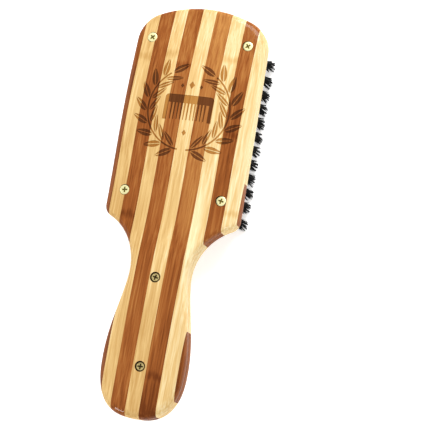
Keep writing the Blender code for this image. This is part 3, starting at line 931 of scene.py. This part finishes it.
for node in sorted(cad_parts):
    if "_screw_" not in node:
        continue
    low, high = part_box(node)
    middle = (low + high) / 2
    length = high.z - low.z
    in_grip = node.startswith("grip")
    sink = GRIP_SINK if in_grip else 0.0
    wall = HEAD_RADIUS + HOLE_GAP
    bore = THREAD_RADIUS + HOLE_GAP
    hole = turned_piece([(wall, HOLE_TOOL_TOP), (wall, -HEAD_RIM - sink),
                         (bore, -HEAD_RIM - CONE - sink), (bore, -length + POINT),
                         (HOLE_END, -length - HOLE_END)], SCREW_SIDES)
    hole.location = (middle.x, middle.y, high.z)
    # The hole's walls take the painted shade material.
    hole.data.materials.append(hole_wall_shade)
    bpy.context.view_layer.update()
    for strip_node, strip in strips.items():
        strip_low, strip_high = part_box(strip_node)
        if (strip_low.x - wall < middle.x < strip_high.x + wall
                and strip_low.y < middle.y < strip_high.y):
            carve(strip, hole, material_mode="TRANSFER")
    bpy.data.objects.remove(hole)

    screw = make_screw(length - sink)
    screw.name = node + "_brass"
    screw.rotation_euler.z = random.Random(node).uniform(0.0, math.pi / 2)
    screw.location = (middle.x, middle.y, high.z - sink)
    take(screw)
    bpy.ops.object.transform_apply(location=True, rotation=True, scale=True)
    layer = screw.data.attributes.new("hollow", "FLOAT", "FACE")
    # Painted shade: faces in the cross recess, and on the grip's screws the head's rim outside its
    # middle, are marked to be coloured dark.
    painted_shade_faces = []
    for face in screw.data.polygons:
        reach = (face.center.xy - middle.xy).length
        under = high.z - sink - face.center.z
        in_cross = reach < RECESS / 2 and TOP_SKIN < under < RECESS_LOW
        round_it = in_grip and reach > FACE_RADIUS and under < HEAD_RIM
        painted_shade_faces.append(1.0 if in_cross or round_it else 0.0)
    layer.data.foreach_set("value", painted_shade_faces)
    screw.data.materials.append(tarnished_brass_dark_reflection if in_grip else bright_brass)
    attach(screw, "root")
    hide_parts(node)

# Table, light and camera -----------------------------------------------------------------------
# The brush lies on a light table, under a big soft lamp beyond its head. Small lamps near the grip
# put the short gloss marks on its rims, and the camera looks down on it from above the right side.

bpy.ops.object.select_all(action="DESELECT")
bpy.ops.mesh.primitive_plane_add(size=6.0)
floor = bpy.context.object
floor.name = "table"
# An opal light table: matt white plastic, lit weakly from below so that shadows stay pale.
opal, opal_shader = new_material("opal_light_table", Roughness=0.8,
                                 Base_Color=(0.93, 0.93, 0.93, 1.0))
opal_shader.inputs["Emission Color"].default_value = (1.0, 1.0, 1.0, 1.0)
opal_shader.inputs["Emission Strength"].default_value = 0.55
floor.data.materials.append(opal)

scene = bpy.context.scene
scene.view_settings.view_transform = "Standard"
world = bpy.data.worlds.new("soft_box")
scene.world = world
world.use_nodes = True
world.node_tree.nodes["Background"].inputs["Color"].default_value = (1.0, 1.0, 1.0, 1.0)
world.node_tree.nodes["Background"].inputs["Strength"].default_value = 0.5

AIM = Vector((0.0239, 0.0005, 0.0240))       # what the camera and the lamps point at
DISTANCE = 0.910              # from there to the camera
TILT_RIGHT = math.radians(15.99)             # of the camera from straight above
TILT_DOWN = math.radians(10.15)
ROLL = math.radians(9.93)


def soft_light(name, place, size, power):
    """A square lamp that points at the brush."""
    lamp = bpy.data.lights.new(name, "AREA")
    lamp.size = size
    lamp.energy = power
    item = bpy.data.objects.new(name, lamp)
    scene.collection.objects.link(item)
    item.location = place
    item.rotation_euler = (AIM - Vector(place)).to_track_quat("-Z", "Y").to_euler()


soft_light("key", (0.25, 0.70, 0.70), 0.5, 11.5)
soft_light("fill_left", (-0.90, 0.10, 0.38), 0.6, 2.0)
soft_light("gloss_left", (-0.55, -0.75, 0.45), 0.25, 4.5)
soft_light("gloss_right", (0.50, -0.65, 0.65), 0.14, 1.5)

camera = bpy.data.objects.new("camera", bpy.data.cameras.new("camera"))
scene.collection.objects.link(camera)
camera.data.lens = 144.93
camera.data.clip_start = 0.05
towards = Vector((math.tan(TILT_RIGHT), -math.tan(TILT_DOWN), 1.0)).normalized()
camera.location = AIM + DISTANCE * towards
side = Vector((0.0, 1.0, 0.0)).cross(towards).normalized()
up = towards.cross(side)
roll = Matrix.Rotation(ROLL, 3, towards)
turn = Matrix((side, up, towards)).transposed()
camera.rotation_euler = (roll @ turn).to_euler()
scene.camera = camera
